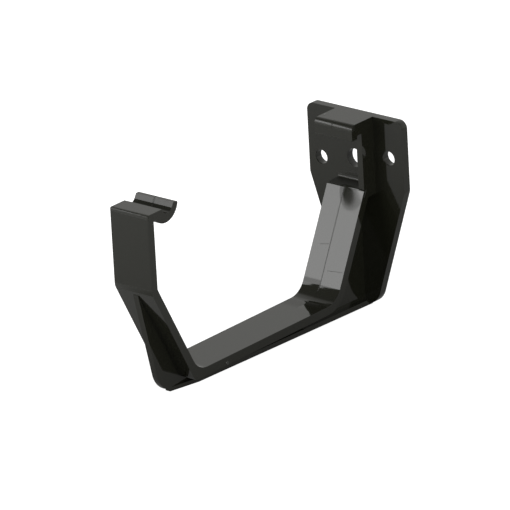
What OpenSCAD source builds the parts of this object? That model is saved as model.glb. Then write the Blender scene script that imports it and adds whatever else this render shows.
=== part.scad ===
// Fascia bracket for square-line rainwater gutter, moulded in one piece.
// Millimetres. X runs across the strap, Y towards the fascia board, Z up.
// The origin lies on the fascia board's face, at mid strap, level with the gutter's flat bottom.
// The gutter's outline sets the strap: every bend of the strap follows the same values.

/* [Gutter] */
// Width of the gutter outside, between its upright rims
gutter_w = 113.5; // [90:0.2:140]
// Play left between the gutter and the strap, front to back
gutter_play = 0.4; // [0.1:0.1:1.5]
// Height of the gutter's sloping sides
gutter_side_h = 36.7; // [25:0.1:50]
// Run of the gutter's front slope towards the middle
gutter_front_run = 19; // [10:0.1:28]
// Run of the gutter's rear slope towards the middle
gutter_rear_run = 18.3; // [10:0.1:28]
// Height of the gutter's front rim above its flat bottom
gutter_front_h = 62.2; // [50:0.1:80]
// Thickness of the gutter's wall
gutter_wall = 1.9; // [1.2:0.1:3]
// Play between the gutter's rear rim and its slot
slot_play = 0.55; // [0.2:0.05:1]

/* [Strap] */
// Width of the strap
strap_w = 17; // [12:0.1:30]
// Thickness of the strap
strap_t = 3.2; // [2:0.1:5]
// Inner radius of the bend below the front wall
knee_r = 2; // [0.5:0.1:8]
// Inner radius of the bend at the front of the flat bottom
toe_r = 8; // [0.5:0.1:14]
// Outer radius of the same bend
toe_out_r = 2.5; // [0.5:0.1:12]
// Inner radius of the bend at the rear of the flat bottom
heel_r = 8; // [0.5:0.1:14]
// Radius under the strap where it turns back to the fascia plate
shelf_r = 1.2; // [0.4:0.1:4]
// Rise of the shelf from the gutter's rim to the fascia plate
shelf_rise = 0.25; // [0:0.05:1]
// Radius between the shelf and the fascia plate
shelf_fillet = 0.7; // [0.3:0.1:2]
// Rounding of the strap's upper edge at the rear
shelf_edge_r = 0.6; // [0.2:0.1:1.5]

/* [Front clip] */
// Thickness of the ledge over the gutter's front rim
ledge_t = 2.9; // [2:0.1:5]
// Rounding of the ledge's front corner
ledge_round = 0.6; // [0.3:0.1:2]
// Distance from the front wall's outer face to the middle of the curl
curl_y = 9.5; // [8:0.1:16]
// Height of the curl's middle above the ledge
curl_rise = 1.4; // [-0.5:0.05:2]
// Outer radius of the curl that keeps the gutter's front bead down
curl_r = 6.9; // [5:0.05:9]
// Distance from the front wall's outer face to the trough inside the curl
trough_y = 7.7; // [5:0.1:14]
// Depth of the trough below the ledge's top
trough_depth = 2.2; // [1:0.1:4]
// Radius at the bottom of the trough, on both sides
trough_r = 2.8; // [0.5:0.1:4]
// Thickness of the lip at its top
lip_t = 2.4; // [1:0.1:4]
// Rake of the lip's inner face from upright, in degrees
lip_rake = 32; // [0:1:40]
// Height of the curl's lip above the ledge
lip_rise = 0.7; // [0:0.1:3]
// Rounding of the lip's outer corner
lip_round = 1.2; // [0.2:0.1:1.2]
// Radius between the ledge's underside and the curl
curl_root_r = 1.2; // [0.4:0.1:3]

/* [Fascia plate] */
// Width of the plate's upper part
plate_w = 43.5; // [30:0.1:70]
// Thickness of the plate
plate_t = 3.2; // [2:0.1:5]
// Height of the plate's top edge
plate_top = 62.9; // [50:0.1:90]
// Height at which the plate starts to taper
plate_waist = 36.4; // [20:0.1:50]
// Width of the plate's foot
plate_foot_w = 12.8; // [8:0.1:30]
// Depth of the plate's foot below the gutter's flat bottom
plate_foot = 10.1; // [6:0.1:20]
// Radius of the plate's top corners
plate_r = 3; // [0.5:0.1:8]
// Radius of the corners at the plate's foot
foot_r = 8; // [0.5:0.1:8]

/* [Screw holes] */
// Diameter of the left-hand and right-hand holes
hole_d = 5.4; // [3:0.1:8]
// Diameter of the middle hole
hole_mid_d = 7; // [3:0.1:9]
// Height of the row of holes at mid strap
hole_z = 45.6; // [40:0.1:56]
// Distance of the left-hand hole from the plate's left side
hole_left_in = 5.65; // [4:0.05:12]
// Distance of the middle hole from mid strap, to the left
hole_mid = 0.6; // [0:0.1:5]
// Distance of the right-hand hole from the plate's right side
hole_right_in = 6.65; // [4:0.05:12]
// Rise of the row of holes for each millimetre to the right
hole_rise = 0.176; // [0:0.001:0.4]

/* [Rear hook] */
// Gap between the fascia plate and the gutter's rear rim
rear_gap = 6.5; // [4:0.1:16]
// Thickness of the hook's top
hook_t = 4.4; // [2:0.1:8]
// Thickness of the hook's nose
nose_t = 2.8; // [1.6:0.1:5]
// Depth of the nose below the hook's top face
nose_drop = 6; // [5:0.1:12]
// Rounding of the hook's front edge
hook_round = 1.8; // [0.3:0.1:2.6]
// Thickness of the web under the hook, on the right-hand side
upper_web_t = 2.5; // [1:0.1:4]

/* [Web] */
// Thickness of the web that runs under the strap
web_t = 2.3; // [1.5:0.1:5]
// Setback of the web's top from the front wall's outer face
web_start = 1; // [0.5:0.1:4]
// Drop of the web's top below the strap's knee
web_drop = 3.3; // [2.5:0.1:8]
// Rake of the web's front edge from upright, in degrees
web_rake = 12.9; // [5:0.1:25]
// Depth of the web's front corner below the gutter's flat bottom
web_depth = 6.9; // [5:0.05:15]
// Radius of the web's front corner
web_r = 10.5; // [2:0.1:16]
// Width of the flange on the web's lower edge
flange_w = 6.3; // [3:0.1:12]
// Thickness of the flange at the fascia plate
flange_t = 2; // [1:0.1:4]
// Thickness of the flange at its front end
flange_front_t = 1.5; // [1:0.1:4]
// Distance from the front wall to the flange's front end
flange_start = 15; // [12:0.5:20]
// Distance from the front wall to where the flange has its full width
flange_full = 28; // [20:0.5:50]

/* [Hidden] */
$fn = 96;
bite = 0.6;
// Every rounding circle is this much larger than its corner, so that it crosses the sides cleanly
tuck = 0.003;

// Stations and levels of the gutter's seat, Y first, then Z
slot_w = gutter_wall + slot_play;
rim_y = -plate_t - rear_gap;
wall_y = rim_y - gutter_w - gutter_play;
front_y = wall_y - strap_t;
ledge_z = gutter_front_h + ledge_t;

// Corners of the strap on the gutter's side, from the ledge down and back to the plate
p_top = [wall_y, gutter_front_h];
p_knee = [wall_y, gutter_side_h];
p_toe = [wall_y + gutter_front_run, 0];
p_heel = [rim_y - gutter_rear_run, 0];
p_shelf = [rim_y, gutter_side_h];
shelf_z = gutter_side_h + shelf_rise;
p_plate = [bite - plate_t, shelf_z + bite * shelf_rise / rear_gap];

// Curl and trough of the front clip
lip_z = ledge_z + lip_rise;
curl_m = [front_y + curl_y, ledge_z + curl_rise];
trough_z = ledge_z - trough_depth;
lip_in = curl_m[0] + curl_r - lip_t;
trough_end = lip_in - (lip_z - trough_z) * tan(lip_rake);
root_dz = curl_m[1] - gutter_front_h + curl_root_r;
root_m = [
    curl_m[0] - sqrt(pow(curl_r + curl_root_r, 2) - pow(root_dz, 2)),
    gutter_front_h - curl_root_r
];

// Hook and web
nose_y = rim_y - slot_w - nose_t;
nose_z = plate_top - nose_drop;
hook_z = plate_top - hook_t;
web_top = [front_y + web_start, gutter_side_h - web_drop];
web_front = [web_top[0] + (web_top[1] + web_depth) * tan(web_rake), -web_depth];
web_rear = [-plate_t / 2, -plate_foot];
web_fall = (web_rear[1] - web_front[1]) / (web_rear[0] - web_front[0]);

function unit(v) = v / norm(v);
function left_of(d) = [-d[1], d[0]];
function right_of(d) = [d[1], -d[0]];
function bisect(u1, u2) = (u1 + u2) / (1 + u1 * u2);
// Corner b of the path a, b, c, moved to its right by t
function shifted(a, b, c, t) =
    b + bisect(right_of(unit(b - a)), right_of(unit(c - b))) * t;

// What is left of a corner outside a circle that touches both its sides
module corner_rest(m, u1, u2, r) {
    reach = r + 0.4;
    difference() {
        polygon([m, m + u1 * reach, m + bisect(u1, u2) * reach, m + u2 * reach]);
        translate(m) circle(r + tuck);
    }
}

// Corner b of an outline that runs a, b, c with the material on its left
module corner_at(a, b, c, r) {
    d1 = unit(b - a);
    d2 = unit(c - b);
    side = d1[0] * d2[1] - d1[1] * d2[0] > 0 ? 1 : -1;
    s = r * sqrt((1 - d1 * d2) / (1 + d1 * d2));
    m = b - d1 * s + left_of(d1) * r * side;
    corner_rest(m, right_of(d1) * side, right_of(d2) * side, r);
}

// Outline with a true arc at every corner that has a radius
module rounded(p, radii) {
    n = len(p);
    function turn(i) =
        let (a = p[(i + n - 1) % n], b = p[i], c = p[(i + 1) % n])
        (b[0] - a[0]) * (c[1] - b[1]) - (b[1] - a[1]) * (c[0] - b[0]);
    difference() {
        union() {
            polygon(p);
            for (i = [0 : n - 1])
                if (radii[i] > 0 && turn(i) < 0)
                    corner_at(p[(i + n - 1) % n], p[i], p[(i + 1) % n], radii[i]);
        }
        for (i = [0 : n - 1])
            if (radii[i] > 0 && turn(i) > 0)
                corner_at(p[(i + n - 1) % n], p[i], p[(i + 1) % n], radii[i]);
    }
}

// Gives a side view in Y and Z a width along X, about the plane X = x0
module across(w, x0 = 0) {
    translate([x0 - w / 2, 0, 0])
        rotate([90, 0, 90])
            linear_extrude(height = w)
                children();
}

// Front wall, front slope, flat bottom, rear slope and shelf, as one bent strap
module strap() {
    across(strap_w)
        rounded(
            [
                [front_y, ledge_z],
                shifted(p_top, p_knee, p_toe, strap_t),
                shifted(p_knee, p_toe, p_heel, strap_t),
                shifted(p_toe, p_heel, p_shelf, strap_t),
                shifted(p_heel, p_shelf, p_plate, strap_t),
                [p_plate[0], p_plate[1] - strap_t],
                p_plate,
                p_shelf,
                p_heel,
                p_toe,
                p_knee,
                p_top,
                [wall_y + bite, gutter_front_h],
                [wall_y + bite, ledge_z]
            ],
            [
                ledge_round,
                knee_r + strap_t,
                toe_out_r,
                heel_r + strap_t,
                shelf_r,
                0,
                0,
                shelf_edge_r,
                heel_r,
                toe_r,
                knee_r,
                0,
                0,
                0
            ]
        );
    across(strap_w)
        corner_at([-plate_t, shelf_z + 3], [-plate_t, shelf_z], p_shelf, shelf_fillet);
}

// Ledge and curl that snap over the gutter's front bead
module front_clip() {
    across(strap_w)
        difference() {
            union() {
                translate([wall_y, gutter_front_h])
                    square([curl_m[0] - wall_y, ledge_t]);
                intersection() {
                    translate(curl_m) circle(curl_r);
                    rounded(
                        [
                            [curl_m[0] - curl_r - 1, curl_m[1] - curl_r - 1],
                            [curl_m[0] + curl_r, curl_m[1] - curl_r - 1],
                            [curl_m[0] + curl_r, lip_z],
                            [curl_m[0] - curl_r - 1, lip_z]
                        ],
                        [0, 0, lip_round, 0]
                    );
                }
                corner_rest(root_m, [0, 1], unit(curl_m - root_m), curl_root_r);
            }
            rounded(
                [
                    [front_y + trough_y, trough_z],
                    [trough_end, trough_z],
                    [lip_in + tan(lip_rake), lip_z + 1],
                    [front_y + trough_y, lip_z + 1]
                ],
                [trough_r, trough_r, 0, 0]
            );
            translate([front_y, ledge_z])
                square([trough_y + 0.5, lip_rise + 1]);
        }
}

// Hook over the gutter's rear rim, with the slot behind its nose
module rear_hook() {
    across(strap_w)
        rounded(
            [
                [nose_y, nose_z],
                [nose_y + nose_t, nose_z],
                [nose_y + nose_t, hook_z],
                [bite - plate_t, hook_z],
                [bite - plate_t, plate_top],
                [nose_y, plate_top]
            ],
            [0.4, 0.4, 0.8, 0, 0, hook_round]
        );
    across(upper_web_t, (strap_w - upper_web_t) / 2)
        translate([rim_y, gutter_side_h - bite])
            square([bite - plate_t - rim_y, hook_z - gutter_side_h + 2 * bite]);
}

// Web under the strap, from the front wall's foot to the fascia plate
module web() {
    sunk = strap_t / 4;
    across(web_t)
        rounded(
            [
                web_top,
                web_front,
                web_rear,
                [web_rear[0], gutter_side_h - sunk],
                shifted(p_heel, p_shelf, p_plate, sunk),
                shifted(p_toe, p_heel, p_shelf, sunk),
                shifted(p_knee, p_toe, p_heel, sunk),
                [wall_y - sunk, web_top[1] + 2]
            ],
            [0, web_r, 0, 0, 0, 0, 0, 0]
        );
}

// Flange on the web's lower edge, which fades out towards the front
module flange() {
    y0 = front_y + flange_start;
    y1 = front_y + flange_full;
    z0 = web_front[1] + (y0 - web_front[0]) * web_fall;
    intersection() {
        across(flange_w)
            polygon([
                [y0, z0],
                web_rear,
                web_rear + [0, flange_t],
                [y0, z0 + flange_front_t]
            ]);
        translate([0, 0, -plate_foot - 1])
            linear_extrude(height = plate_foot + 1)
                polygon([
                    [-web_t / 2 + 0.1, y0],
                    [web_t / 2 - 0.1, y0],
                    [flange_w / 2 + 1, y1 + (y1 - y0) * 2 / (flange_w - web_t)],
                    [flange_w / 2 + 1, 0],
                    [-flange_w / 2 - 1, 0],
                    [-flange_w / 2 - 1, y1 + (y1 - y0) * 2 / (flange_w - web_t)]
                ]);
    }
}

// Plate that lies against the fascia board, with its three screw holes
module fascia_plate() {
    holes = [
        [hole_left_in - plate_w / 2, hole_d],
        [-hole_mid, hole_mid_d],
        [plate_w / 2 - hole_right_in, hole_d]
    ];
    difference() {
        rotate([90, 0, 0])
            linear_extrude(height = plate_t)
                rounded(
                    [
                        [-plate_foot_w / 2, -plate_foot],
                        [plate_foot_w / 2, -plate_foot],
                        [plate_w / 2, plate_waist],
                        [plate_w / 2, plate_top],
                        [-plate_w / 2, plate_top],
                        [-plate_w / 2, plate_waist]
                    ],
                    [foot_r, foot_r, 3, plate_r, plate_r, 3]
                );
        for (h = holes)
            translate([h[0], 1, hole_z + h[0] * hole_rise])
                rotate([90, 0, 0])
                    cylinder(h = plate_t + 2, d = h[1]);
    }
}

// The whole moulding
module bracket() {
    color("#151516")
        union() {
            fascia_plate();
            strap();
            front_clip();
            rear_hook();
            web();
            flange();
        }
}

bracket();
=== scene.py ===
"""The gutter bracket in black plastic, on a white sweep under three softboxes, from the photo's side."""
import math

import bpy
from mathutils import Matrix, Vector


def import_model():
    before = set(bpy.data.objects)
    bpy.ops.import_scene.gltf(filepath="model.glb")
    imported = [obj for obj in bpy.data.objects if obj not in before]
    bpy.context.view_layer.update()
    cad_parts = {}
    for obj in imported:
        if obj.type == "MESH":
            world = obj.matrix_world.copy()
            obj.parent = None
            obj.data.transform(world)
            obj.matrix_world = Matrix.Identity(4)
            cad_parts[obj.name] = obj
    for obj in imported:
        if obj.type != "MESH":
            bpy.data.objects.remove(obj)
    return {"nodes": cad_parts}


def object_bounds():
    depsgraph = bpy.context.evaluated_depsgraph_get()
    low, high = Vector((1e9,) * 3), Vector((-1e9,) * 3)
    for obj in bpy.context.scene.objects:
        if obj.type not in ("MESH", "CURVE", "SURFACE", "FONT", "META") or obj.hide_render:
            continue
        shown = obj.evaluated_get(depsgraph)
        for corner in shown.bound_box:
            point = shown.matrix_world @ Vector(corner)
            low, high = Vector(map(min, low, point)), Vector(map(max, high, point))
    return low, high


MM = 0.001
WHITE = (1.0, 1.0, 1.0, 1.0)

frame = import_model()
cad_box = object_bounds()
bracket = frame["nodes"]["bracket"]
scene = bpy.context.scene


def bearing(azimuth, elevation):
    """The direction from the bracket to what stands at that azimuth and elevation, in degrees."""
    a, e = math.radians(azimuth), math.radians(elevation)
    return Vector((math.sin(a) * math.cos(e), -math.cos(a) * math.cos(e), math.sin(e)))


# ---------------------------------------------------------------- camera
AZIMUTH, ELEVATION, ROLL = 40.81, 21.0, -3.145
DISTANCE = 3.0
LENS, SENSOR = 600.84, 36.0
CLIP_NEAR, CLIP_FAR = 0.1, 20.0
TARGET = Vector((0.5, -66.9, 30.4)) * MM      # what the camera and the softboxes are set out from
AIM_RIGHT, AIM_UP = 3.40, -0.96               # mm from the target to the picture's middle


def camera():
    back = bearing(AZIMUTH, ELEVATION)
    roll = math.radians(ROLL)
    right = Vector((0, 0, 1)).cross(back).normalized()
    up = back.cross(right)
    side = right * math.cos(roll) + up * math.sin(roll)
    top = up * math.cos(roll) - right * math.sin(roll)
    aim = TARGET + side * (AIM_RIGHT * MM) + top * (AIM_UP * MM)
    data = bpy.data.cameras.new("camera")
    data.type = "PERSP"
    data.lens = LENS
    data.sensor_width = SENSOR
    data.clip_start, data.clip_end = CLIP_NEAR, CLIP_FAR
    obj = bpy.data.objects.new("camera", data)
    turn = Matrix((side, top, back)).transposed().to_4x4()
    obj.matrix_world = Matrix.Translation(aim + back * DISTANCE) @ turn
    scene.collection.objects.link(obj)
    scene.camera = obj


camera()


# ---------------------------------------------------------------- node trees
GLOSS_SHARE = 0.12      # how much of the white background gloss sees, which isn't all of it


class Graph:
    """A node tree, with short ways to add and join its nodes."""

    def __init__(self, tree):
        self.tree = tree
        tree.nodes.clear()

    def node(self, kind, inputs=None, **settings):
        n = self.tree.nodes.new(kind)
        for key, value in settings.items():
            setattr(n, key, value)
        for key, value in (inputs or {}).items():
            if isinstance(value, bpy.types.NodeSocket):
                self.tree.links.new(value, n.inputs[key])
            else:
                n.inputs[key].default_value = value
        return n

    def math(self, operation, a, b=0.0, c=0.0):
        return self.node("ShaderNodeMath", {0: a, 1: b, 2: c}, operation=operation).outputs[0]

    def product(self, first, *others):
        for other in others:
            first = self.math("MULTIPLY", first, other)
        return first

    def vector(self, operation, a, b=(0.0, 0.0, 0.0), result="Value"):
        return self.node("ShaderNodeVectorMath", {0: a, 1: b}, operation=operation).outputs[result]

    def split(self, vector):
        return self.node("ShaderNodeSeparateXYZ", {0: vector}).outputs

    def ramp(self, value, start, end, low=0.0, high=1.0, shape="SMOOTHSTEP"):
        """From low to high as the value goes from start to end."""
        n = self.node("ShaderNodeMapRange", {
            "Value": value, "From Min": start, "From Max": end, "To Min": low, "To Max": high},
            interpolation_type=shape)
        return n.outputs["Result"]

    def between(self, value, low, high, soft):
        """1 from low to high, 0 outside, with soft ends."""
        rise = self.ramp(value, low - soft, low + soft)
        fall = self.ramp(value, high + soft, high - soft)
        return self.math("MULTIPLY", rise, fall)

    def box(self, place_mm, spans, soft):
        """1 inside a box given in mm, 0 outside, with soft sides."""
        axes = self.split(place_mm)
        return self.product(*(self.between(axes[i], low, high, soft)
                              for i, (low, high) in enumerate(spans)))

    def seen(self):
        """How much of the white background a ray sees: straight or through glass all, in gloss a share."""
        ray = self.node("ShaderNodeLightPath").outputs
        clear = self.math("MAXIMUM", ray["Is Camera Ray"], ray["Is Transmission Ray"])
        return self.math("MAXIMUM", clear, self.math("MULTIPLY", ray["Is Glossy Ray"], GLOSS_SHARE))


# ---------------------------------------------------------------- moulding marks
# All in mm, in the part's frame. A depth goes into the face, a rise comes out of it.
SLOPE_WAY, SLOPE_AT = (0.0, -0.895, 0.446), 25.05       # the rear slope's upper face
SLOPE_AHEAD = (-1.0, 1.0, 0.3)                          # low, high, soft: along the face's normal
SLOPE_Z = (1.5, 36.8, 0.3)
# Parting seam on the rear slope, the lip and the nose: a box's x, y and z, and its depth
SEAMS = (
    (((-0.73, -0.47), (-27.5, -9.4), (1.5, 36.8)), 0.16),
    (((-0.10, 0.30), (-116.0, -109.0), (62.6, 70.0)), 0.35),
    (((-0.80, -0.40), (-16.0, -13.0), (60.4, 63.5)), 0.25),
)
SEAM_SOFT = 0.08
# Tool lines across the rear slope: x and z of both ends
TOOL_LINES = ((-4.9, 17.1, -0.9, 17.8), (1.1, 9.25, 7.8, 9.8))
TOOL_ACROSS, TOOL_END_SOFT, TOOL_DEPTH = (-0.1, 0.1, 0.08), 0.3, 0.02
# The slope's two halves meet the strap's bottom in a step: side of the seam, top and foot in z, rise
SEAM_X = -0.6
HEELS = ((-1.0, 6.2, 2.0, 0.27), (1.0, 3.6, -0.4, -0.16))
HEEL_Y, HEEL_AHEAD, HEEL_Z = (-36.0, -10.0, 4.0), (-1.2, 20.0, 0.4), (-3.6, 40.0, 0.3)
# Sink mark at the top of the rear slope: centre, reach along x, y and z, depth
SINKS = (((3.9, -10.0, 37.6), (6.6, 50.0, 8.4), 0.80),)
# Dots on the hook and on the strap's side: centre, radius, rise
DOTS = (((-7.4, -10.5, 62.9), 0.7, 0.12), ((8.5, -89.1, -2.5), 0.9, 0.60))


def marks(g, place_mm):
    """The height of the moulding marks over the surface, in mm."""
    x, y, z = g.split(place_mm)
    ahead = g.math("SUBTRACT", g.vector("DOT_PRODUCT", place_mm, SLOPE_WAY), SLOPE_AT)
    slope = g.math("MULTIPLY", g.between(ahead, *SLOPE_AHEAD), g.between(z, *SLOPE_Z))
    heights = [g.math("MULTIPLY", g.box(place_mm, spans, SEAM_SOFT), -depth) for spans, depth in SEAMS]
    for x0, z0, x1, z1 in TOOL_LINES:
        grade = (z1 - z0) / (x1 - x0)
        off = g.math("SUBTRACT", z, g.math("MULTIPLY_ADD", x, grade, z0 - grade * x0))
        line = g.math("MULTIPLY", g.between(off, *TOOL_ACROSS), g.between(x, x0, x1, TOOL_END_SOFT))
        heights.append(g.product(line, slope, -TOOL_DEPTH))
    for side, top, foot, rise in HEELS:
        half = g.math("GREATER_THAN", g.math("MULTIPLY", g.math("SUBTRACT", x, SEAM_X), side), 0.0)
        heights.append(g.product(half, g.between(y, *HEEL_Y), g.between(ahead, *HEEL_AHEAD),
                                 g.between(z, *HEEL_Z), g.ramp(z, top, foot, 0.0, rise)))
    for centre, reach, depth in SINKS:
        away = g.vector("SUBTRACT", place_mm, centre, "Vector")
        away = g.vector("MULTIPLY", away, [1.0 / r for r in reach], "Vector")
        dip = g.ramp(g.vector("LENGTH", away), 1.0, 0.0, 0.0, -depth)
        heights.append(g.math("MULTIPLY", dip, slope))
    for centre, radius, rise in DOTS:
        heights.append(g.ramp(g.vector("DISTANCE", place_mm, centre), radius, 0.0, 0.0, rise))
    total = heights[0]
    for height in heights[1:]:
        total = g.math("ADD", total, height)
    return total


# ---------------------------------------------------------------- plastic
BASE_COLOUR = (0.0122, 0.0126, 0.0080, 1.0)
IOR = 1.5
FINE_SCALE, SWELL_SCALE, GRAIN_DETAIL = 700.0, 90.0, 2.0
SWELL_SHARE = 4.0             # the swell's height for 1 of the fine grain's
GRAIN = 0.0022                # mm
SMUDGE_SCALE, SMUDGE_DETAIL = 60.0, 5.0
ROUGH_LEAST, ROUGH_SMUDGE = 0.05, 0.06
# Where the surface is less glossy: a box's x, y and z in mm, how soft its sides are, added roughness
ROUGH_AREAS = (
    (((-9.0, 9.0), (-16.0, -12.0), (56.0, 57.3)), 0.1, 0.6),          # foot of the hook's nose
    (((-30.0, 30.0), (-128.0, -125.7), (63.6, 66.0)), 0.3, 0.4),      # front edge of the ledge
    (((-9.0, 9.0), (-128.0, -125.6), (34.6, 37.4)), 0.6, 0.25),       # bend from front wall to slope
    (((0.8, 7.0), (-14.0, -9.6), (29.5, 36.0)), 1.2, 0.12),           # sink mark
    (((-8.7, 6.2), (-9.2, -2.6), (36.6, 38.3)), 0.25, 0.36),          # shelf
    (((-9.0, 9.0), (-16.0, -13.0), (60.6, 63.0)), 0.2, 0.26),         # brow of the hook's nose
)


def plastic():
    m = bpy.data.materials.new("black_upvc")
    m.use_nodes = True
    g = Graph(m.node_tree)
    place = g.node("ShaderNodeTexCoord").outputs["Object"]
    scaled = g.node("ShaderNodeVectorMath", {0: place, "Scale": 1.0 / MM}, operation="SCALE")
    place_mm = scaled.outputs["Vector"]

    def noise(scale, detail):
        n = g.node("ShaderNodeTexNoise", {"Vector": place, "Scale": scale, "Detail": detail})
        return n.outputs["Fac"]

    grain = g.math("MULTIPLY_ADD", noise(SWELL_SCALE, GRAIN_DETAIL), SWELL_SHARE,
                   noise(FINE_SCALE, GRAIN_DETAIL))
    height = g.math("MULTIPLY_ADD", grain, GRAIN, marks(g, place_mm))
    bump = g.node("ShaderNodeBump", {"Height": height, "Strength": 1.0, "Distance": MM})
    rough = g.math("MULTIPLY_ADD", noise(SMUDGE_SCALE, SMUDGE_DETAIL), ROUGH_SMUDGE, ROUGH_LEAST)
    for spans, soft, added in ROUGH_AREAS:
        rough = g.math("MULTIPLY_ADD", g.box(place_mm, spans, soft), added, rough)
    shader = g.node("ShaderNodeBsdfPrincipled", {
        "Base Color": BASE_COLOUR, "IOR": IOR, "Roughness": rough, "Normal": bump.outputs["Normal"]})
    g.node("ShaderNodeOutputMaterial", {"Surface": shader.outputs["BSDF"]})
    return m


WELD_REACH = 0.002 * MM
EDGE_WIDTH, EDGE_STEPS, EDGE_ANGLE = 0.45 * MM, 3, 32      # the softened edges of a moulding

bracket.data.materials.clear()
bracket.data.materials.append(plastic())
weld = bracket.modifiers.new("weld", "WELD")
weld.merge_threshold = WELD_REACH
bevel = bracket.modifiers.new("edge", "BEVEL")
bevel.width = EDGE_WIDTH
bevel.segments = EDGE_STEPS
bevel.limit_method = "ANGLE"
bevel.angle_limit = math.radians(EDGE_ANGLE)
bevel.harden_normals = True


# ---------------------------------------------------------------- floor
FLOOR_SIDE = 8.0
FLOOR_DROP = 0.2 * MM         # below the bracket
FLOOR_X = (-0.2, 0.2)         # what the greys are spread over, in metres
# The floor's grey at an x in mm, painted light and shade: paler on the lamp's side as a painted pool of
# light, greyer behind the bracket as a painted shadow of it
FLOOR_PAINTED_LIGHT_AND_SHADE = ((-150, 0.80), (-87, 0.66), (-30, 0.43), (0, 0.28),
               (30, 0.33), (60, 0.45), (110, 0.53), (160, 0.60))
FLOOR_GLOW = 0.95


def plane(name, side, place):
    mesh = bpy.data.meshes.new(name)
    h = side / 2
    mesh.from_pydata([(-h, -h, 0), (h, -h, 0), (h, h, 0), (-h, h, 0)], [], [(0, 1, 2, 3)])
    obj = bpy.data.objects.new(name, mesh)
    obj.location = place
    scene.collection.objects.link(obj)
    return obj


def floor_paint():
    """Painted light and shade in greys that light and gloss see, and nearly white to the camera."""
    m = bpy.data.materials.new("pale_floor")
    m.use_nodes = True
    g = Graph(m.node_tree)
    x = g.split(g.node("ShaderNodeTexCoord").outputs["Object"])["X"]
    # The floor's colour carries painted light and shade: paler towards the lamp, darker behind the bracket
    # where its shadow falls.
    grey = g.node("ShaderNodeValToRGB", {"Fac": g.ramp(x, *FLOOR_X, shape="LINEAR")})
    stops = grey.color_ramp.elements
    while len(stops) < len(FLOOR_PAINTED_LIGHT_AND_SHADE):
        stops.new(0.5)
    for stop, (at, value) in zip(stops, FLOOR_PAINTED_LIGHT_AND_SHADE):
        stop.position = (at * MM - FLOOR_X[0]) / (FLOOR_X[1] - FLOOR_X[0])
        stop.color = (value, value, value, 1.0)
    diffuse = g.node("ShaderNodeBsdfDiffuse", {"Color": grey.outputs["Color"]})
    glow = g.node("ShaderNodeEmission", {
        "Color": WHITE, "Strength": g.math("MULTIPLY", g.seen(), FLOOR_GLOW)})
    both = g.node("ShaderNodeAddShader", {0: diffuse.outputs[0], 1: glow.outputs[0]})
    g.node("ShaderNodeOutputMaterial", {"Surface": both.outputs[0]})
    return m


floor = plane("floor", FLOOR_SIDE, (0, 0, cad_box[0].z - FLOOR_DROP))
floor.data.materials.append(floor_paint())


# ---------------------------------------------------------------- light
ROOM = (1.0, 1.0, 0.96, 1.0)
# The room's level by how far a direction points behind the bracket: start, end, low, high
SWEEP = (0.05, 0.38, 0.03, 0.42)
FAR = (0.3, 0.7, 0.0, 0.2)
# Name, azimuth, elevation, distance, width, height, radiance
SOFTBOXES = (
    ("key", -40.6, 13.0, 1.2, 1.44, 0.42, 4.9),
    ("key_top", -40.6, 26.7, 1.2, 1.44, 0.16, 2.9),
    ("fill", 62.0, 27.0, 1.2, 1.0, 1.0, 2.8),
)


def world():
    """A pale sweep behind the bracket and a dim room in front of it."""
    w = bpy.data.worlds.new("studio")
    scene.world = w
    w.use_nodes = True
    g = Graph(w.node_tree)
    y = g.split(g.node("ShaderNodeTexCoord").outputs["Generated"])["Y"]
    level = g.math("ADD", g.ramp(y, *SWEEP), g.ramp(y, *FAR, shape="LINEAR"))
    room = g.node("ShaderNodeBackground", {"Color": ROOM, "Strength": level})
    white = g.node("ShaderNodeBackground", {"Color": WHITE, "Strength": 1.0})
    both = g.node("ShaderNodeMixShader", {0: g.seen(), 1: room.outputs[0], 2: white.outputs[0]})
    g.node("ShaderNodeOutputWorld", {"Surface": both.outputs[0]})


def softbox(name, azimuth, elevation, distance, width, height, radiance):
    """A rectangular light that faces the bracket, seen from it at that azimuth and elevation."""
    way = bearing(azimuth, elevation)
    data = bpy.data.lights.new(name, "AREA")
    data.shape = "RECTANGLE"
    data.size, data.size_y = width, height
    data.energy = radiance * math.pi * width * height
    obj = bpy.data.objects.new(name, data)
    obj.location = TARGET + way * distance
    obj.rotation_mode = "QUATERNION"
    obj.rotation_quaternion = way.to_track_quat("Z", "Y")
    scene.collection.objects.link(obj)


world()
for box in SOFTBOXES:
    softbox(*box)

scene.view_settings.view_transform = "Standard"
